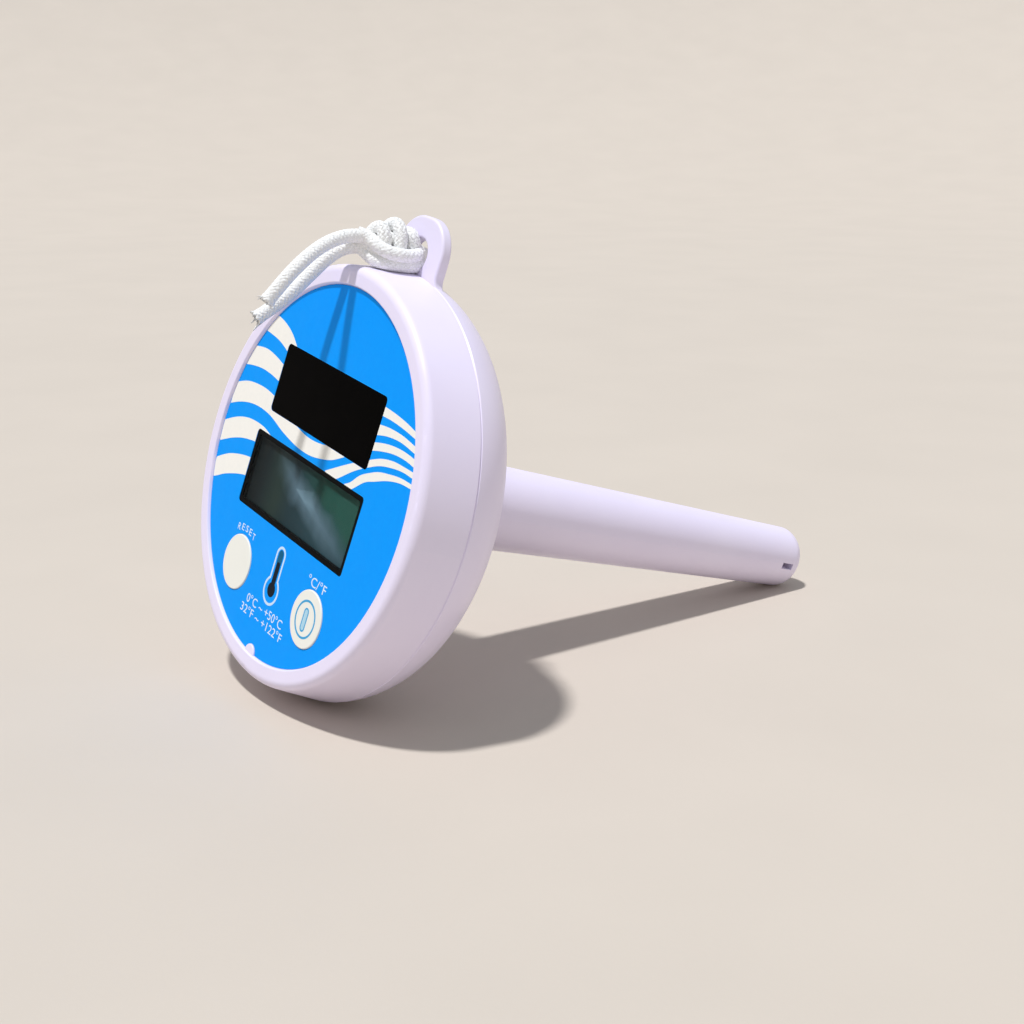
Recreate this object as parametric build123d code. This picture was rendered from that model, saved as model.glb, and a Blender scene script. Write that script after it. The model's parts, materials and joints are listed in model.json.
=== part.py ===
from build123d import *

import math
import os

# Floating pool thermometer: a round solar-powered head on a tapered, ballasted stem, with a tether
# of braided cord tied to the lug of the head. Millimetres.
#
# Every piece is modelled in the head's own frame: the origin is the centre of the bezel's front
# face, X runs to the reader's right, Y to the top of the label and Z out of the face. At the end
# all pieces are turned together into the frame of the object at rest, lying on the shoulder of its
# head and on the tip of its stem: Z up, the stem towards +Y, the centre of the base at the origin.

# ---- driving dimensions -------------------------------------------------------------------------

SEAM_R = 54.0            # largest radius, where the two housings meet
SEAM_Z = -13.33          # height of that seam behind the bezel's face
RIM_R = 51.8             # side wall carried up to the bezel's face
RIM_ROUND = 2.1          # rounding between that face and the side wall
BACK_Z = -29.2           # flat back of the head
BACK_ROUND = 17.0        # radius of the shoulder between the seam and the back
WALL = 2.4               # housing wall
TONGUE = 3.0             # height of the register that centres one housing in the other
SEAM_BREAK = 0.3         # broken edge each side of the seam, which draws a fine line round the head

BEZEL_IN_R = 47.3        # inner edge of the bezel ring
BEZEL_LIP = 0.3          # how far the bezel's inner edge leans outwards
BEZEL_ROUND = 0.35
LABEL_R = 46.9
LABEL_TOP = -0.8         # printed surface, below the bezel's face
LABEL_T = 0.4
FLOOR_Z = LABEL_TOP - LABEL_T
FLOOR_T = 2.4
FLOOR_BACK = FLOOR_Z - FLOOR_T
KEY_AT = (-0.9, -47.3)   # half-round key that stops the label turning
KEY_R = 2.45
KEY_TOP = -0.4
KEY_GAP = 0.1
KEY_ROUND = 0.3

SOLAR_SIZE = (50.6, 17.7)
SOLAR_AT = (0.3, 18.3)
SOLAR_TOP = -0.9
SOLAR_CORNER = 1.2
SOLAR_GLASS_T = 1.0
SOLAR_LEDGE = 2.0        # width of the shelf that carries the cell
SHELF_Z = -2.8
LCD_SIZE = (56.2, 19.6)
LCD_AT = (0.1, -6.1)
LCD_CORNER = 1.0
OPENING_CORNER = 0.6     # corners of the openings inside the cell's shelf and the display's frame
LCD_FRAME_TOP = -0.95
LCD_BORDER = 1.3
LCD_FLANGE = 1.2
LCD_FLANGE_T = 0.8
LCD_WINDOW_TOP = -1.05
LCD_WINDOW_T = 1.0
LCD_PANEL_T = 2.2

KEY_X = 19.5             # the two push buttons stand left and right of the middle
KEY_Y = -29.8
BUTTON_R = 7.1
BUTTON_BORE_R = 7.2
BUTTON_TOP = -0.5
BUTTON_FLANGE_R = 8.3
BUTTON_TRAVEL = 0.5
PLAY = 0.05

BOARD_TOP = -7.8
BOARD_T = 1.6
BOARD_BACK = BOARD_TOP - BOARD_T
BOARD_HALF_W = 31.0
BOARD_LOW_Y = -39.0
BOARD_HIGH_Y = 11.0
BOARD_BEVEL = 10.0       # at the lower corners, to clear the wall
BOARD_SCREWS = [(x, y) for x in (-28.0, 28.0) for y in (-23.0, 7.7)]
CASE_SCREWS = [(x, y) for x in (-35.0, 35.0) for y in (-20.0, 20.0)]

STEM_TOP_R = 11.92       # stem radius just behind the head
STEM_TOP_Z = -30.0
STEM_LOW_R = 9.0         # stem radius near the tip
STEM_LOW_Z = -170.0
STEM_WALL = 1.8
TIP_Z = -173.0
TIP_ROUND = 5.0
TIP_CAP_L = 12.0         # length of the tip cap that shows beyond the tube
SLOT_UP = 7.5            # height of the water slots above the tip
SLOT_SIZE = (1.8, 4.4)
SLOT_TURN = -3.0         # degrees that the pair is turned about the stem

LUG_HALF_W = 10.6
LUG_TOP_Y = 67.9
LUG_FOOT_Y = 40.0        # how deep its outline starts, inside the head
LUG_CORNER = 9.3
LUG_FLARE = 3.0          # rounding where the lug's sides run into the head
LUG_T = 2.8
LUG_HOLE_AT = (0.0, 58.4)
LUG_HOLE_R = 4.0

CORD_D = 3.2             # braided tether
LEAD_D = 1.0             # insulated wires inside the housings

LEAN = -7.6              # the lug leans this many degrees off the upright, at rest

# The two free tails of the tether, each from inside the knot to its cut end.
UPPER_TAIL = [
    (-4.6, 59.3, -5.8),
    (-5.5, 59.0, 0.7),
    (-4.3, 55.9, 8.0),
    (-1.5, 51.0, 14.3),
    (-0.1, 44.7, 19.0),
    (-0.7, 38.7, 21.5),
]
LOWER_TAIL = [
    (-6.5, 56.5, -5.9),
    (-7.7, 55.3, -1.3),
    (-9.0, 52.2, 3.6),
    (-10.3, 45.6, 7.5),
    (-10.7, 38.3, 12.1),
    (-12.0, 32.1, 17.8),
]
# The bight that passes through the lug and closes round its edge.
LOOP = [
    (-0.9, 58.7, -10.9),
    (-1.2, 58.5, -19.4),
    (-12.5, 58.2, -19.2),
    (-12.6, 58.0, -10.6),
    (-9.4, 58.3, -6.2),
]
KNOT_AT = (-3.4, 59.4, -6.9)
KNOT_HALF = (5.2, 5.5, 5.8)  # across, upright and along its turns
KNOT_ROUND = 2.5
KNOT_PITCH = 7.0         # degrees that it leans back, following the side wall under it

# ---- shared helpers -----------------------------------------------------------------------------


def turned(outline, rounds=()):
    """Solid turned about the head's axis from (radius, z) corners, some of them rounded."""
    face = Polygon(*outline, align=None)
    for corner, radius in rounds:
        vertex = face.vertices().sort_by_distance((*corner, 0))[0]
        face = fillet(vertex, radius)
    return revolve(Plane.XZ * face, Axis.Z)


def disc(radius, low, high, at=(0.0, 0.0)):
    """Cylinder along Z between two heights."""
    return extrude(Pos(*at, low) * Circle(radius), high - low)


def slab(size, low, high, at=(0.0, 0.0), corner=0.0):
    """Rectangular plate between two heights, its corners rounded in plan."""
    outline = RectangleRounded(*size, corner) if corner else Rectangle(*size)
    return extrude(Pos(*at, low) * outline, high - low)


def stem_r(z):
    """Outer radius of the tapered stem at a height."""
    taper = (STEM_TOP_R - STEM_LOW_R) / (STEM_TOP_Z - STEM_LOW_Z)
    return STEM_TOP_R + (z - STEM_TOP_Z) * taper


def smooth_radii(points):
    """The largest arc that each corner of a cord's route has room for."""
    radii = []
    for before, at, after in zip(points, points[1:], points[2:]):
        incoming = Vector(*at) - Vector(*before)
        outgoing = Vector(*after) - Vector(*at)
        half_turn = math.radians(incoming.get_angle(outgoing)) / 2
        radii.append(0.45 * min(incoming.length, outgoing.length) / math.tan(half_turn))
    return radii


def cord(name, points, diameter):
    """Round cord swept along straight runs joined by tangent arcs."""
    radii = smooth_radii(points)
    route = FilletPolyline(*points, radius=radii)
    start = Plane(route @ 0, z_dir=route % 0)
    solid = sweep(start * Circle(diameter / 2), path=route)
    ratio = solid.volume / (math.pi * diameter**2 / 4 * route.length)
    print(name, "length", round(route.length, 1), "radii", [round(r, 1) for r in radii],
          "volume ratio", round(ratio, 4))
    return solid


# ---- housings -----------------------------------------------------------------------------------

SHOULDER_Z = BACK_Z + BACK_ROUND
SHOULDER_R = SEAM_R - math.sqrt(BACK_ROUND**2 - (SEAM_Z - SHOULDER_Z) ** 2)
LUG_ROOT_R = SEAM_R - 0.6
LUG_ROUND = 0.7
LUG_BITE = 1.6           # how far the lug's root reaches into the shell's wall
TONGUE_OUT_R = SEAM_R - WALL - 0.7
TONGUE_IN_R = TONGUE_OUT_R - 1.8
TONGUE_GAP = 0.2         # between the register's end and the front housing
TONGUE_FOOT = 4.0        # how far the register is rooted below the seam
REGISTER_LEAD = 1.5      # height of the cone that leads the register in
FLOOR_ROUND = 0.8
SEAL_R = (SEAM_R + TONGUE_OUT_R) / 2
SEAL_THICK = 1.4

BOSS_R = 3.4
BOSS_PILOT_R = 1.45
PILOT_SINK = 0.2         # how far the pilot holes run on into the label's floor
BOSS_WEB_Z = -20.0       # where the case screws' heads bear
COLUMN_R = 4.2           # columns in the rear shell, with clearance and head bores
COLUMN_BORE_R = 1.7
HEAD_BORE_R = 3.1
BOARD_BOSS_R = 2.3
BOARD_PILOT_R = 1.0
BOARD_HOLE_R = 1.2


def bowl(shoulder_round, floor_z):
    """Turned body from the seam down round the shoulder to a flat floor, without a hollow."""
    rim = SHOULDER_R + math.sqrt(shoulder_round**2 - (SEAM_Z - SHOULDER_Z) ** 2)
    slope = math.radians(-45)
    middle = (SHOULDER_R + shoulder_round * math.cos(slope), SHOULDER_Z + shoulder_round * math.sin(slope))
    edges = [
        Line((0, SEAM_Z), (rim, SEAM_Z)),
        ThreePointArc((rim, SEAM_Z), middle, (SHOULDER_R, floor_z)),
        Line((SHOULDER_R, floor_z), (0, floor_z)),
        Line((0, floor_z), (0, SEAM_Z)),
    ]
    return revolve(Plane.XZ * make_face(edges), Axis.Z)


def front_housing():
    """Bezel, side wall, the floor that carries the label, and the bosses behind it."""
    wall_in = RIM_R - WALL
    lip_r = BEZEL_IN_R - BEZEL_LIP
    body = turned(
        [
            (0, FLOOR_BACK), (0, FLOOR_Z), (lip_r, FLOOR_Z), (lip_r, LABEL_TOP), (BEZEL_IN_R, 0), (RIM_R, 0),
            (SEAM_R, SEAM_Z + SEAM_BREAK), (SEAM_R - SEAM_BREAK, SEAM_Z), (TONGUE_OUT_R, SEAM_Z),
            (TONGUE_OUT_R, SEAM_Z + TONGUE), (wall_in, SEAM_Z + TONGUE + REGISTER_LEAD),
            (wall_in, FLOOR_BACK),
        ],
        [((RIM_R, 0), RIM_ROUND), ((BEZEL_IN_R, 0), BEZEL_ROUND), ((wall_in, FLOOR_BACK), FLOOR_ROUND)],
    )
    key = disc(KEY_R, FLOOR_BACK, KEY_TOP, KEY_AT)
    key = fillet(key.edges().filter_by(GeomType.CIRCLE).sort_by(Axis.Z)[-1], KEY_ROUND)
    body += key & disc(BEZEL_IN_R, FLOOR_BACK, 0)
    for at in CASE_SCREWS:
        body += disc(BOSS_R, SEAM_Z, FLOOR_BACK, at)
        body -= disc(BOSS_PILOT_R, SEAM_Z, FLOOR_BACK + PILOT_SINK, at)
    for at in BOARD_SCREWS:
        body += disc(BOARD_BOSS_R, BOARD_TOP, FLOOR_BACK, at)
        body -= disc(BOARD_PILOT_R, BOARD_TOP, FLOOR_BACK + PILOT_SINK, at)
    body -= slab(SOLAR_SIZE, SHELF_Z, 0, SOLAR_AT, SOLAR_CORNER)
    body -= slab([side - 2 * SOLAR_LEDGE for side in SOLAR_SIZE], FLOOR_BACK, 0, SOLAR_AT, OPENING_CORNER)
    body -= slab(LCD_SIZE, FLOOR_BACK, 0, LCD_AT, LCD_CORNER)
    for side in (-1, 1):
        body -= disc(BUTTON_BORE_R, FLOOR_BACK, 0, (side * KEY_X, KEY_Y))
    return body


def face_label():
    """Printed film with windows for the cell and the display and holes for the buttons."""
    film = disc(LABEL_R, FLOOR_Z, LABEL_TOP)
    film -= disc(KEY_R + KEY_GAP, FLOOR_Z, LABEL_TOP, KEY_AT)
    film -= slab(SOLAR_SIZE, FLOOR_Z, LABEL_TOP, SOLAR_AT, SOLAR_CORNER)
    film -= slab(LCD_SIZE, FLOOR_Z, LABEL_TOP, LCD_AT, LCD_CORNER)
    for side in (-1, 1):
        film -= disc(BUTTON_BORE_R, FLOOR_Z, LABEL_TOP, (side * KEY_X, KEY_Y))
    return film


def lug():
    """Flat eye that stands out of the rear shell, level with the seam, its sides flared into the head."""
    height = LUG_TOP_Y - LUG_FOOT_Y
    outline = Pos(0, LUG_TOP_Y - height / 2) * RectangleRounded(2 * LUG_HALF_W, height, LUG_CORNER)
    outline += Circle(LUG_ROOT_R)
    root_y = math.sqrt(LUG_ROOT_R**2 - LUG_HALF_W**2)
    corners = [outline.vertices().sort_by_distance((side * LUG_HALF_W, root_y, 0))[0] for side in (-1, 1)]
    outline = fillet(corners, LUG_FLARE)
    outline -= Pos(*LUG_HOLE_AT) * Circle(LUG_HOLE_R)
    plate = extrude(Pos(0, 0, SEAM_Z - LUG_T) * outline, LUG_T)
    outside = [edge for edge in plate.edges() if edge.bounding_box().min.Y > LUG_ROOT_R - LUG_FLARE]
    plate = fillet([edge for edge in outside if edge.bounding_box().size.Z < 0.01], LUG_ROUND)
    return plate - disc(SEAM_R - LUG_BITE, SEAM_Z - LUG_T, SEAM_Z)


def rear_housing():
    """Rear shell with its register, screw columns and lug, bored for the stem."""
    outer = bowl(BACK_ROUND, BACK_Z)
    inner = bowl(BACK_ROUND - WALL, BACK_Z + WALL)
    seam_edge = turned(
        [
            (SEAM_R - SEAM_BREAK, SEAM_Z), (SEAM_R, SEAM_Z - SEAM_BREAK),
            (SEAM_R + SEAM_BREAK, SEAM_Z - SEAM_BREAK), (SEAM_R + SEAM_BREAK, SEAM_Z),
        ]
    )
    shell = outer - inner - seam_edge
    shell += lug()
    tongue_top = SEAM_Z + TONGUE - TONGUE_GAP
    tongue_foot = SEAM_Z - TONGUE_FOOT
    shell += turned(
        [
            (TONGUE_IN_R, tongue_foot), (SEAL_R, tongue_foot), (SEAL_R, SEAM_Z), (TONGUE_OUT_R, SEAM_Z),
            (TONGUE_OUT_R, tongue_top), (TONGUE_IN_R, tongue_top),
        ]
    )
    groove = turned(
        [
            (SEAL_R - SEAL_THICK / 2, SEAM_Z - SEAL_THICK), (SEAL_R + SEAL_THICK / 2, SEAM_Z - SEAL_THICK),
            (SEAL_R + SEAL_THICK / 2, SEAM_Z), (SEAL_R - SEAL_THICK / 2, SEAM_Z),
        ]
    )
    shell -= groove
    for at in CASE_SCREWS:
        shell += disc(COLUMN_R, BACK_Z, SEAM_Z, at) & outer
        shell -= disc(COLUMN_BORE_R, BACK_Z, SEAM_Z, at)
        shell -= disc(HEAD_BORE_R, BACK_Z, BOSS_WEB_Z, at)
    return shell - stem_blank()


def case_seal():
    """O-ring in the groove between the two housings."""
    return Pos(0, 0, SEAM_Z - SEAL_THICK / 2) * Torus(SEAL_R, SEAL_THICK / 2)


# ---- stem and tip -------------------------------------------------------------------------------

STEM_FLANGE_R = 16.0
STEM_FLANGE_T = 2.0
STEM_HEAD_Z = BACK_Z + WALL + STEM_FLANGE_T
STEM_END_Z = TIP_Z + TIP_CAP_L
SPIGOT_TOP_Z = STEM_END_Z + 10.0
SLEEVE_R = 2.6
SLEEVE_WALL = 0.3
SLEEVE_TOP_Z = SPIGOT_TOP_Z
SLEEVE_LOW_Z = TIP_Z + 4.0
CHAMBER_R = 5.4          # flooded space round the probe
CHAMBER_TOP_Z = TIP_Z + 10.5
CHAMBER_LOW_Z = TIP_Z + 2.4
SLOT_Z = TIP_Z + SLOT_UP
SENSOR_Z = TIP_Z + 6.4
SENSOR_R = 1.2
BALLAST_R = 7.2
BALLAST_BORE_R = 2.4
BALLAST_TOP_Z = SPIGOT_TOP_Z + 40.0
BALLAST_CHAMFER = 0.6
PLUG_TOP_Z = BALLAST_TOP_Z + 10.0
PLUG_BORE_R = 1.8


def stem_bore(low, high):
    """Tapered space inside the stem between two heights."""
    return turned([(0, low), (stem_r(low) - STEM_WALL, low), (stem_r(high) - STEM_WALL, high), (0, high)])


def stem_blank():
    """Tapered stem without its bore."""
    return turned([(0, STEM_END_Z), (stem_r(STEM_END_Z), STEM_END_Z), (stem_r(STEM_HEAD_Z), STEM_HEAD_Z),
                   (0, STEM_HEAD_Z)])


def stem_tube():
    """Tapered tube with the flange that is welded inside the rear shell."""
    tube = stem_blank() + disc(STEM_FLANGE_R, STEM_HEAD_Z - STEM_FLANGE_T, STEM_HEAD_Z)
    return tube - stem_bore(STEM_END_Z, STEM_HEAD_Z)


def tip_cap():
    """Rounded end cap: a spigot in the tube, a bore for the probe and two slots that let water in."""
    end_r = stem_r(TIP_Z)
    cap = turned(
        [(0, TIP_Z), (end_r, TIP_Z), (stem_r(STEM_END_Z), STEM_END_Z), (0, STEM_END_Z)],
        [((end_r, TIP_Z), TIP_ROUND)],
    )
    cap += stem_bore(STEM_END_Z, SPIGOT_TOP_Z)
    cap -= disc(CHAMBER_R, CHAMBER_LOW_Z, CHAMBER_TOP_Z)
    cap -= disc(SLEEVE_R, CHAMBER_TOP_Z, SPIGOT_TOP_Z)
    slot = Pos(0, 0, SLOT_Z) * Box(3 * end_r, *SLOT_SIZE)
    return cap - Rot(0, 0, SLOT_TURN) * slot


def probe_sleeve():
    """Thin steel sleeve, closed below, that carries the warmth of the water to the sensor."""
    sleeve = disc(SLEEVE_R, SLEEVE_LOW_Z, SLEEVE_TOP_Z)
    sleeve -= disc(SLEEVE_R - SLEEVE_WALL, SLEEVE_LOW_Z + SLEEVE_WALL, SLEEVE_TOP_Z)
    return sleeve


def ballast_weight():
    """Steel slug that keeps the floating thermometer upright."""
    slug = disc(BALLAST_R, SPIGOT_TOP_Z, BALLAST_TOP_Z) - disc(BALLAST_BORE_R, SPIGOT_TOP_Z, BALLAST_TOP_Z)
    rims = [edge for edge in slug.edges().filter_by(GeomType.CIRCLE) if edge.radius > BALLAST_BORE_R + 1]
    return chamfer(rims, BALLAST_CHAMFER)


def ballast_plug():
    """Foam plug that holds the slug down, pierced for the leads."""
    return stem_bore(BALLAST_TOP_Z, PLUG_TOP_Z) - disc(PLUG_BORE_R, BALLAST_TOP_Z, PLUG_TOP_Z)


# ---- display, cell and board --------------------------------------------------------------------

LCD_OPEN = [side - 2 * LCD_BORDER for side in LCD_SIZE]
PANEL_BACK = LCD_WINDOW_TOP - LCD_WINDOW_T - LCD_PANEL_T
FLANGE_CORNER = 1.5
ZEBRA_W = 2.0
ZEBRA_INSET = 1.6        # from the panel's edge to the middle of a strip
ZEBRA_SHORT = 4.0        # how much shorter than the panel a strip is

CELL_AT = (0.5, -25.5)
CELL_R = 10.0
CELL_T = 3.2
CELL_STEP = (1.2, 0.4)   # shoulder of the cell's can
CELL_GAP = 0.1
HOLDER_T = 1.2
HOLDER_RIM = (1.5, 1.5)  # width and height of the tray's rim
CLIP_T = 0.4
CLIP_W = 5.0
CLIP_REACH = 2.6         # from the cell's side to the outside of a leg
CLIP_FOOT = 2.4

CHIP_AT = (-17.0, -6.0)
CHIP_R = 5.5
CHIP_H = 1.7
CRYSTAL_AT = (-16.5, -25.0)
CRYSTAL_R = 1.5
CRYSTAL_L = 8.0


def lcd_frame():
    """Black frame round the display, with a flange behind the floor."""
    flange = [side + 2 * LCD_FLANGE for side in LCD_SIZE]
    frame = slab(LCD_SIZE, FLOOR_BACK, LCD_FRAME_TOP, LCD_AT, LCD_CORNER)
    frame += slab(flange, FLOOR_BACK - LCD_FLANGE_T, FLOOR_BACK, LCD_AT, FLANGE_CORNER)
    return frame - slab(LCD_OPEN, FLOOR_BACK - LCD_FLANGE_T, LCD_FRAME_TOP, LCD_AT, OPENING_CORNER)


def zebra_strips():
    """Two elastomer strips that join the display's contacts to the board."""
    offset = LCD_OPEN[1] / 2 - ZEBRA_INSET
    strip = slab((LCD_OPEN[0] - ZEBRA_SHORT, ZEBRA_W), BOARD_TOP, PANEL_BACK, LCD_AT)
    return [Pos(0, side * offset, 0) * strip for side in (-1, 1)]


def circuit_board():
    """Board behind the display and the buttons, its lower corners bevelled to clear the wall."""
    board = Polygon(
        (-BOARD_HALF_W, BOARD_HIGH_Y), (-BOARD_HALF_W, BOARD_LOW_Y + BOARD_BEVEL),
        (-BOARD_HALF_W + BOARD_BEVEL, BOARD_LOW_Y), (BOARD_HALF_W - BOARD_BEVEL, BOARD_LOW_Y),
        (BOARD_HALF_W, BOARD_LOW_Y + BOARD_BEVEL), (BOARD_HALF_W, BOARD_HIGH_Y), align=None,
    )
    solid = extrude(Pos(0, 0, BOARD_BACK) * board, BOARD_T)
    for at in BOARD_SCREWS:
        solid -= disc(BOARD_HOLE_R, BOARD_BACK, BOARD_TOP, at)
    return solid


def cell_holder():
    """Shallow insulating tray for the back-up cell."""
    rim_w, rim_h = HOLDER_RIM
    rim_z = BOARD_BACK - HOLDER_T - rim_h
    tray = disc(CELL_R + rim_w, rim_z, BOARD_BACK, CELL_AT)
    return tray - disc(CELL_R + CELL_GAP, rim_z, BOARD_BACK - HOLDER_T, CELL_AT)


def coin_cell():
    """Back-up button cell, stepped like its can."""
    top = BOARD_BACK - HOLDER_T
    inset, step = CELL_STEP
    return disc(CELL_R - inset, top - step, top, CELL_AT) + disc(CELL_R, top - CELL_T, top - step, CELL_AT)


def cell_clip():
    """Spring strap over the cell, with a leg down to the board at each end."""
    top = BOARD_BACK - HOLDER_T - CELL_T
    half_span = CELL_R + CLIP_REACH
    strap = slab((2 * half_span, CLIP_W), top - CLIP_T, top, CELL_AT)
    for side in (-1, 1):
        leg_x = CELL_AT[0] + side * (half_span - CLIP_T / 2)
        foot_x = leg_x + side * (CLIP_FOOT - CLIP_T) / 2
        strap += slab((CLIP_T, CLIP_W), top - CLIP_T, BOARD_BACK, (leg_x, CELL_AT[1]))
        strap += slab((CLIP_FOOT, CLIP_W), BOARD_BACK - CLIP_T, BOARD_BACK, (foot_x, CELL_AT[1]))
    return strap


def controller_chip():
    """Drop of black resin over the bare chip."""
    dome_r = (CHIP_R**2 + CHIP_H**2) / (2 * CHIP_H)
    ball = Pos(*CHIP_AT, BOARD_BACK + dome_r - CHIP_H) * Sphere(dome_r)
    return ball & disc(2 * CHIP_R, BOARD_BACK - 2 * CHIP_H, BOARD_BACK, CHIP_AT)


def clock_crystal():
    """Small can lying on the board."""
    return Pos(*CRYSTAL_AT, BOARD_BACK - CRYSTAL_R) * Rot(90, 0, 0) * Cylinder(CRYSTAL_R, CRYSTAL_L)


# Head radius, head height, shank radius and the height that the tip reaches.
BOARD_SCREW = (1.9, 1.2, BOARD_PILOT_R, -4.4)
CASE_SCREW = (2.75, 2.0, BOSS_PILOT_R, -6.5)


def screw(at, head_z, head_r, head_t, shank_r, tip_z):
    """Pan-head screw driven towards the face, with a cross recess."""
    back = head_z - head_t
    body = disc(head_r, back, head_z, at) + disc(shank_r, head_z, tip_z, at)
    length, width, depth = 1.3 * head_r, 0.3 * head_r, 0.6 * head_t
    for size in ((length, width), (width, length)):
        body -= slab(size, back, back + depth, at)
    return body


# ---- buttons ------------------------------------------------------------------------------------

SEAL_GROOVE_Z = -2.4
SEAL_SECTION = 0.45
FLANGE_TOP = FLOOR_BACK - PLAY
FLANGE_BACK = FLANGE_TOP - 0.7
CAP_ROUND = 0.3
PLUNGER_R = 1.7
PLUNGER_GAP = 0.08
SWITCH_SIDE = 6.0
SWITCH_CORNER = 0.4
SWITCH_TOP = -5.2
PLUNGER_LOW = SWITCH_TOP - 1.2
PLUNGER_STOP = PLUNGER_LOW - BUTTON_TRAVEL - 0.15


def button(x):
    """Round key cap, with a groove for its seal and a flange that holds it in."""
    edge = (BUTTON_R, BUTTON_TOP)
    cap = turned([(0, FLANGE_BACK), (BUTTON_R, FLANGE_BACK), edge, (0, BUTTON_TOP)], [(edge, CAP_ROUND)])
    cap += disc(BUTTON_FLANGE_R, FLANGE_BACK, FLANGE_TOP)
    low = SEAL_GROOVE_Z - SEAL_SECTION
    high = SEAL_GROOVE_Z + SEAL_SECTION
    groove_r = BUTTON_BORE_R - PLAY - 2 * SEAL_SECTION
    cap -= turned([(groove_r, low), (BUTTON_FLANGE_R, low), (BUTTON_FLANGE_R, high), (groove_r, high)])
    return Pos(x, KEY_Y, 0) * cap


def button_seal(x):
    """O-ring round a key cap."""
    return Pos(x, KEY_Y, SEAL_GROOVE_Z) * Torus(BUTTON_BORE_R - PLAY - SEAL_SECTION, SEAL_SECTION)


def plunger(x):
    """Pin of the switch, which the key cap pushes."""
    return disc(PLUNGER_R, PLUNGER_LOW, FLANGE_BACK, (x, KEY_Y))


def switch(x):
    """Tactile switch on the board, bored for its plunger with room for the travel."""
    body = slab((SWITCH_SIDE, SWITCH_SIDE), BOARD_TOP, SWITCH_TOP, (x, KEY_Y), SWITCH_CORNER)
    return body - disc(PLUNGER_R + PLUNGER_GAP, PLUNGER_STOP, SWITCH_TOP, (x, KEY_Y))


# ---- sensor and leads ---------------------------------------------------------------------------

SENSOR_LEAD_X = 0.75     # half the spacing of the leads in the stem
BOARD_LEAD_X = 3.0       # and where they reach the board
SENSOR_LEAD = [(0.0, SENSOR_Z + SENSOR_R), (0.0, -24.0), (-10.0, -14.0), (-10.4, BOARD_BACK)]
SOLAR_LEAD_X = 6.0
SOLAR_LEAD = [(19.0, SHELF_Z), (18.5, -13.0), (7.0, -14.0), (4.0, BOARD_BACK)]


def sensor_lead(side):
    """Wire from the sensor up the stem to the back of the board."""
    spacing = (SENSOR_LEAD_X, SENSOR_LEAD_X, BOARD_LEAD_X, BOARD_LEAD_X)
    route = [(side * x, y, z) for x, (y, z) in zip(spacing, SENSOR_LEAD)]
    return cord("sensor lead", route, LEAD_D)


def solar_lead(side):
    """Wire from the cell round the board's upper edge to its back."""
    x = SOLAR_AT[0] + side * SOLAR_LEAD_X
    route = [(x, y, z) for y, z in SOLAR_LEAD]
    return cord("solar lead", route, LEAD_D) - circuit_board()


# ---- tether -------------------------------------------------------------------------------------


def tether_knot():
    """Outer shape of the knot: three fat turns of the cord drawn up against each other."""
    across, upright, along = KNOT_HALF
    barrel = extrude(Ellipse(across, upright), along, both=True)
    return Pos(*KNOT_AT) * Rot(KNOT_PITCH, 0, 0) * fillet(barrel.edges(), KNOT_ROUND)


# ---- the pieces, by name ------------------------------------------------------------------------

pieces = {
    "front_housing": front_housing(),
    "face_label": face_label(),
    "rear_housing": rear_housing(),
    "case_seal": case_seal(),
    "stem_tube": stem_tube(),
    "tip_cap": tip_cap(),
    "probe_sleeve": probe_sleeve(),
    "ballast_weight": ballast_weight(),
    "ballast_plug": ballast_plug(),
    "temperature_sensor": Pos(0, 0, SENSOR_Z) * Sphere(SENSOR_R),
    "sensor_lead_left": sensor_lead(-1),
    "sensor_lead_right": sensor_lead(1),
    "solar_cover": slab(SOLAR_SIZE, SOLAR_TOP - SOLAR_GLASS_T, SOLAR_TOP, SOLAR_AT, SOLAR_CORNER),
    "solar_cell": slab(SOLAR_SIZE, SHELF_Z, SOLAR_TOP - SOLAR_GLASS_T, SOLAR_AT, SOLAR_CORNER),
    "solar_lead_left": solar_lead(-1),
    "solar_lead_right": solar_lead(1),
    "lcd_frame": lcd_frame(),
    "lcd_window": slab(LCD_OPEN, LCD_WINDOW_TOP - LCD_WINDOW_T, LCD_WINDOW_TOP, LCD_AT, OPENING_CORNER),
    "lcd_panel": slab(LCD_OPEN, PANEL_BACK, LCD_WINDOW_TOP - LCD_WINDOW_T, LCD_AT, OPENING_CORNER),
    "zebra_strips": Compound(zebra_strips()),
    "circuit_board": circuit_board(),
    "controller_chip": controller_chip(),
    "clock_crystal": clock_crystal(),
    "cell_holder": cell_holder(),
    "coin_cell": coin_cell(),
    "cell_clip": cell_clip(),
    "board_screws": Compound([screw(at, BOARD_BACK, *BOARD_SCREW) for at in BOARD_SCREWS]),
    "case_screws": Compound([screw(at, BOSS_WEB_Z, *CASE_SCREW) for at in CASE_SCREWS]),
    "tether_knot": tether_knot(),
    "tether_loop": cord("tether loop", LOOP, CORD_D),
    "tether_tail_upper": cord("upper tail", UPPER_TAIL, CORD_D),
    "tether_tail_lower": cord("lower tail", LOWER_TAIL, CORD_D),
}
for name, side in (("reset", -1), ("unit", 1)):
    pieces[f"{name}_button"] = button(side * KEY_X)
    pieces[f"{name}_button_seal"] = button_seal(side * KEY_X)
    pieces[f"{name}_plunger"] = plunger(side * KEY_X)
    pieces[f"{name}_switch"] = switch(side * KEY_X)

# ---- placing the object as it rests ---------------------------------------------------------------

# The rounded shoulder and the rounded tip touch the same level, which sets how far the face tilts up.
spacing = SHOULDER_Z - (TIP_Z + TIP_ROUND)
step = SHOULDER_R - (stem_r(TIP_Z + TIP_ROUND) - TIP_ROUND)
slope = math.atan2(step, spacing)
tilt = math.degrees(slope + math.asin((BACK_ROUND - TIP_ROUND) / math.hypot(spacing, step)))


def laid_down(shape):
    """Turns a piece from the head's frame to the frame of the resting object."""
    return shape.rotate(Axis.Z, LEAN).rotate(Axis.X, 90 - tilt)


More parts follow.
